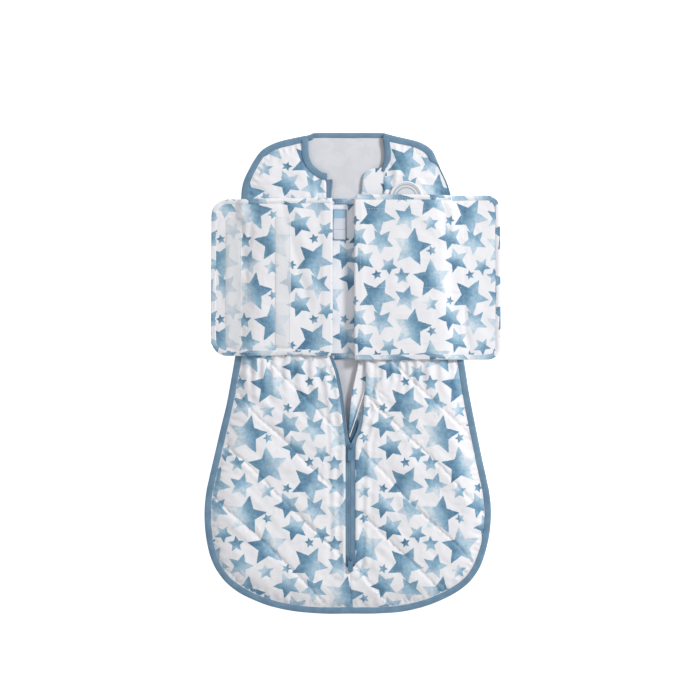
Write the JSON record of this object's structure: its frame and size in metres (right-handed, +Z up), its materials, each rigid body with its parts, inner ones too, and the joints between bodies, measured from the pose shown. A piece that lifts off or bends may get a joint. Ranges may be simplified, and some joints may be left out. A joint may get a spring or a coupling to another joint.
{
  "type": "baby sleeping bag",
  "caption": "Sleeveless padded baby sleeping bag lying flat, bell-shaped foot, two-way front zipper, with an inner swaddle band whose wings fold over the baby.",
  "frame": {"origin": "on the resting plane under the middle of the bag", "axes": "+Y towards the head, +X to the viewer's right when looking down on the front, +Z up out of the front"},
  "size_m": [0.4047, 0.6595, 0.0254],
  "materials": {
    "printed_cloth": "woven cotton with a watercolour star print",
    "wadding": "loose polyester wadding",
    "lining_cloth": "plain white jersey",
    "blue_binding": "folded blue cotton tape, stitched",
    "zipper_tape": "woven blue tape",
    "zipper_coil": "nylon coil",
    "painted_slider": "enamelled, satin",
    "hook_tape": "fine white hook tape",
    "loop_tape": "brushed white loop tape",
    "label_cloth": "smooth woven label",
    "patch": "matte moulded"
  },
  "bodies": {
    "sack": {"back_outer_shell": "printed_cloth", "back_fill": "wadding", "back_lining": "lining_cloth", "front_left_outer_shell": "printed_cloth", "front_left_fill": "wadding", "front_left_lining": "lining_cloth", "front_right_outer_shell": "printed_cloth", "front_right_fill": "wadding", "front_right_lining": "lining_cloth", "perimeter_binding": "blue_binding", "armhole_binding_front_left": "blue_binding", "armhole_binding_front_right": "blue_binding", "armhole_binding_back_left": "blue_binding", "armhole_binding_back_right": "blue_binding", "neck_binding_back": "blue_binding", "neck_binding_left": "blue_binding", "neck_binding_right": "blue_binding", "zipper_tape_left": "zipper_tape", "zipper_tape_right": "zipper_tape", "zipper_coil_left": "zipper_coil", "zipper_coil_right": "zipper_coil", "zipper_top_stops": "zipper_coil", "zipper_bottom_stop": "zipper_coil", "zipper_guard": "printed_cloth", "wrap_center_panel": "printed_cloth", "wrap_center_binding": "printed_cloth", "wrap_root_left": "printed_cloth", "wrap_root_right": "printed_cloth", "instruction_label": "label_cloth", "chest_patch": "patch"},
    "left_wing": {"left_wing_face": "printed_cloth", "left_wing_backing": "printed_cloth", "left_wing_binding": "printed_cloth", "hook_strip_outer": "hook_tape", "hook_strip_inner": "hook_tape"},
    "right_wing": {"right_wing_face": "printed_cloth", "right_wing_backing": "printed_cloth", "right_wing_binding": "printed_cloth", "loop_patch_upper": "loop_tape", "loop_patch_lower": "loop_tape"},
    "top_slider": {"top_slider": "painted_slider"},
    "top_pull": {"top_pull_tab": "painted_slider"},
    "bottom_slider": {"bottom_slider": "painted_slider"},
    "bottom_pull": {"bottom_pull_tab": "painted_slider"}
  },
  "joints": [
    {"name": "left_wing_fold", "type": "hinge", "parent": "sack", "child": "left_wing", "pos_m": [-0.0247, 0.131, 0.0282], "axis": [0, 1, 0], "range_deg": [0, 180]},
    {"name": "right_wing_fold", "type": "hinge", "parent": "sack", "child": "right_wing", "pos_m": [0.0096, 0.1337, 0.0256], "axis": [0, -1, 0], "range_deg": [0, 180]},
    {"name": "top_slider_travel", "type": "slide", "parent": "sack", "child": "top_slider", "axis": [0, -1, 0], "range_m": [0, 0.058]},
    {"name": "bottom_slider_travel", "type": "slide", "parent": "sack", "child": "bottom_slider", "axis": [0, 1, 0], "range_m": [0, 0.058]},
    {"name": "top_pull_swing", "type": "hinge", "parent": "top_slider", "child": "top_pull", "pos_m": [0.002, -0.1, 0.0208], "axis": [-1, 0, 0], "range_deg": [0, 170]},
    {"name": "bottom_pull_swing", "type": "hinge", "parent": "bottom_slider", "child": "bottom_pull", "pos_m": [0.002, -0.252, 0.0208], "axis": [-1, 0, 0], "range_deg": [0, 170]}
  ]
}
